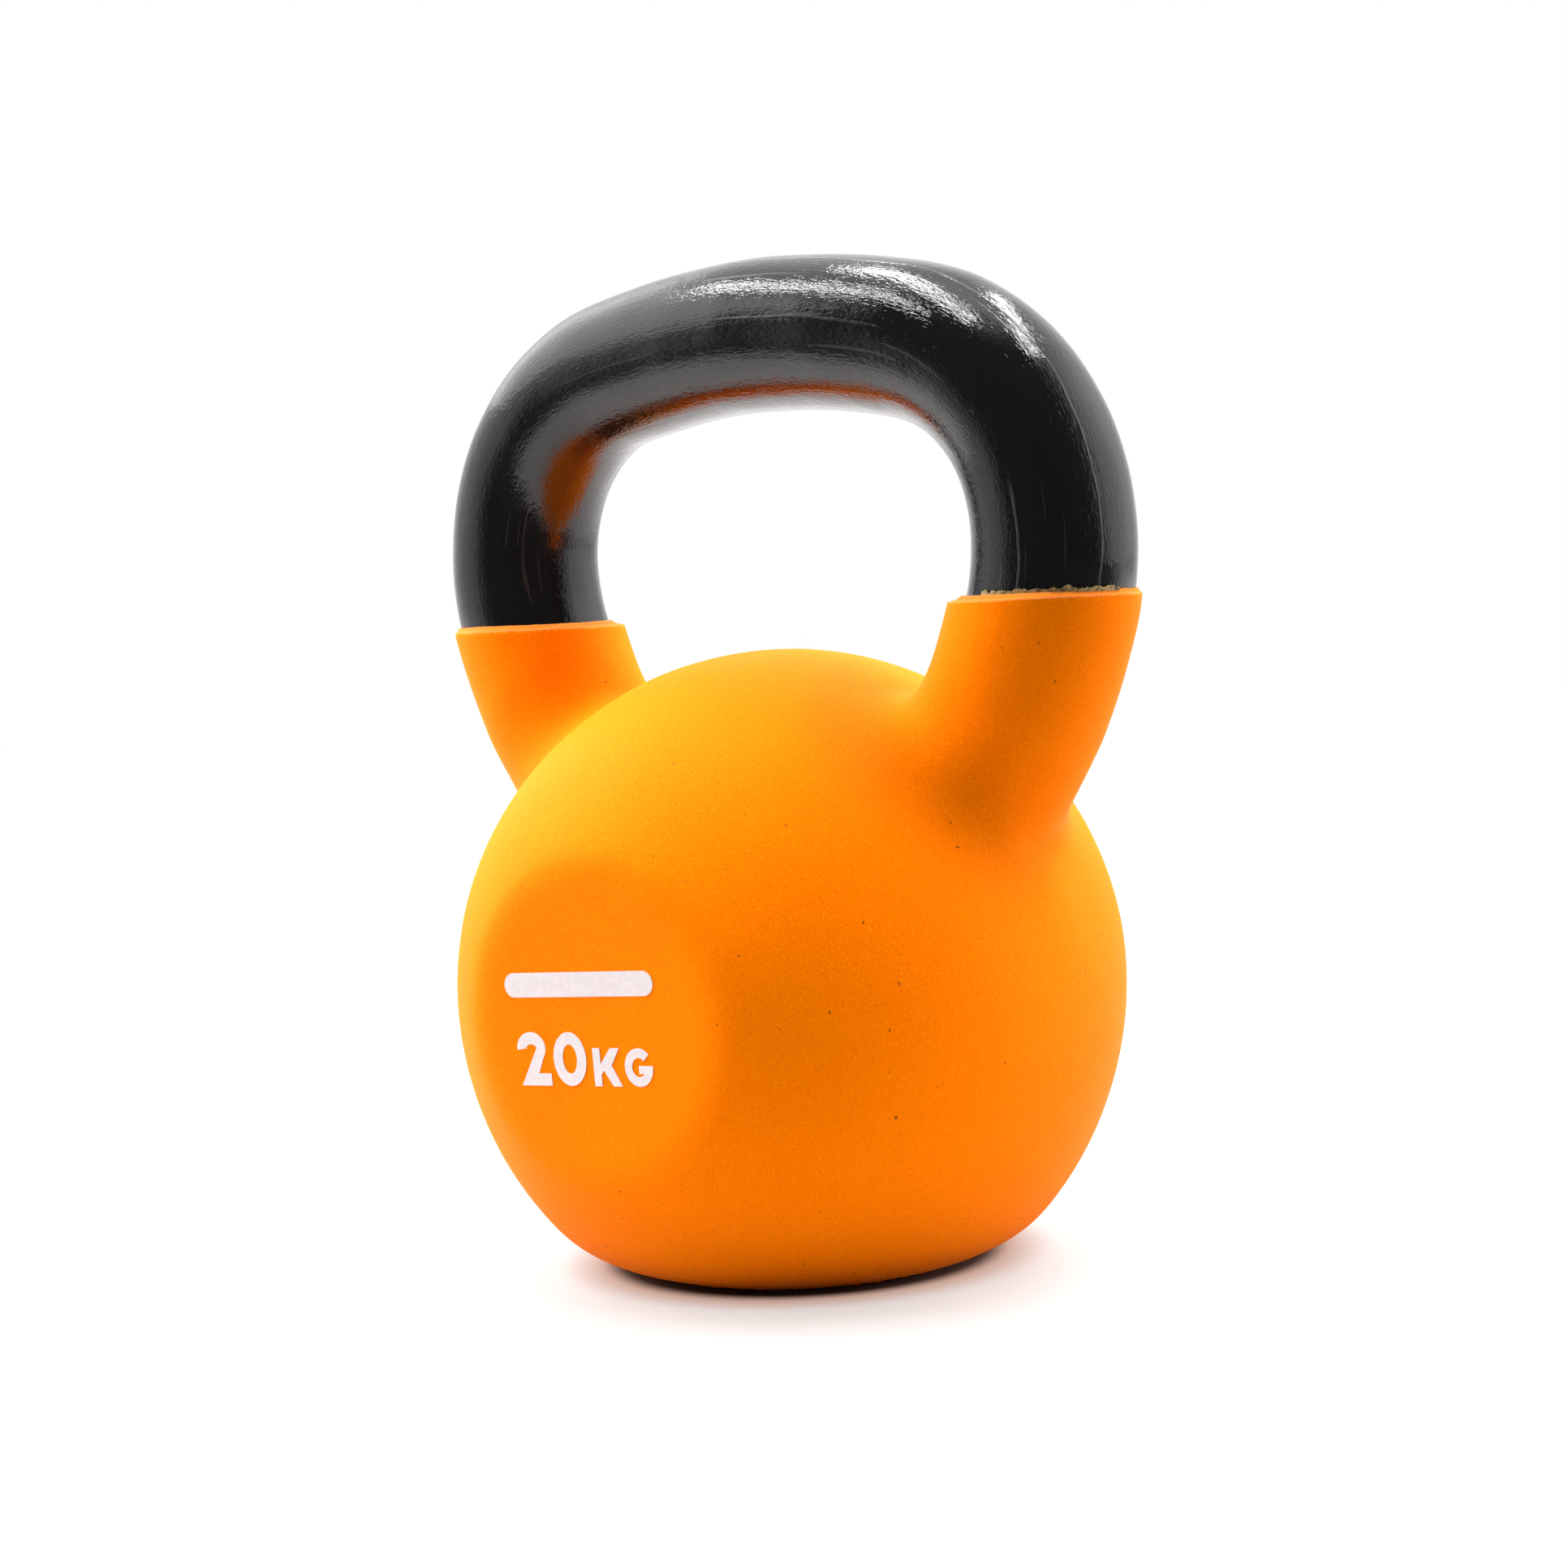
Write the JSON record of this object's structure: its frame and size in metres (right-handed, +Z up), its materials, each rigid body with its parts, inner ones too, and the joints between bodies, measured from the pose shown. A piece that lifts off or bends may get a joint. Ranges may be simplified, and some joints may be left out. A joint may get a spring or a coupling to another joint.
{
  "type": "kettlebell",
  "caption": "Cast-iron kettlebell with a matte orange rubber jacket dipped over its ball and horns, a gloss black lacquered handle and a plain printed mass.",
  "frame": {"origin": "centre of the flat base, on the surface that the kettlebell stands on", "axes": "+Z up through the ball and the middle of the handle, X along the handle bar, the printed face looks towards -Y"},
  "size_m": [0.2128, 0.1562, 0.2577],
  "materials": {
    "cast_iron": "as cast and shot blasted, hidden under its coats",
    "orange_rubber": "matte dipped coat with a fine velvety grain",
    "black_lacquer": "gloss black brushed-on lacquer over cast iron, with fine streaks",
    "primer_tan": "dull tan primer with a ragged edge",
    "white_ink": "matte white print, slightly rough at its edges"
  },
  "bodies": {
    "root": {"iron_casting": "cast_iron", "rubber_jacket": "orange_rubber", "handle_lacquer": "black_lacquer", "primer_line_right": "primer_tan", "print_bar": "white_ink", "print_digit_2": "white_ink", "print_digit_0": "white_ink", "print_letter_k": "white_ink", "print_letter_g": "white_ink"}
  },
  "joints": []
}
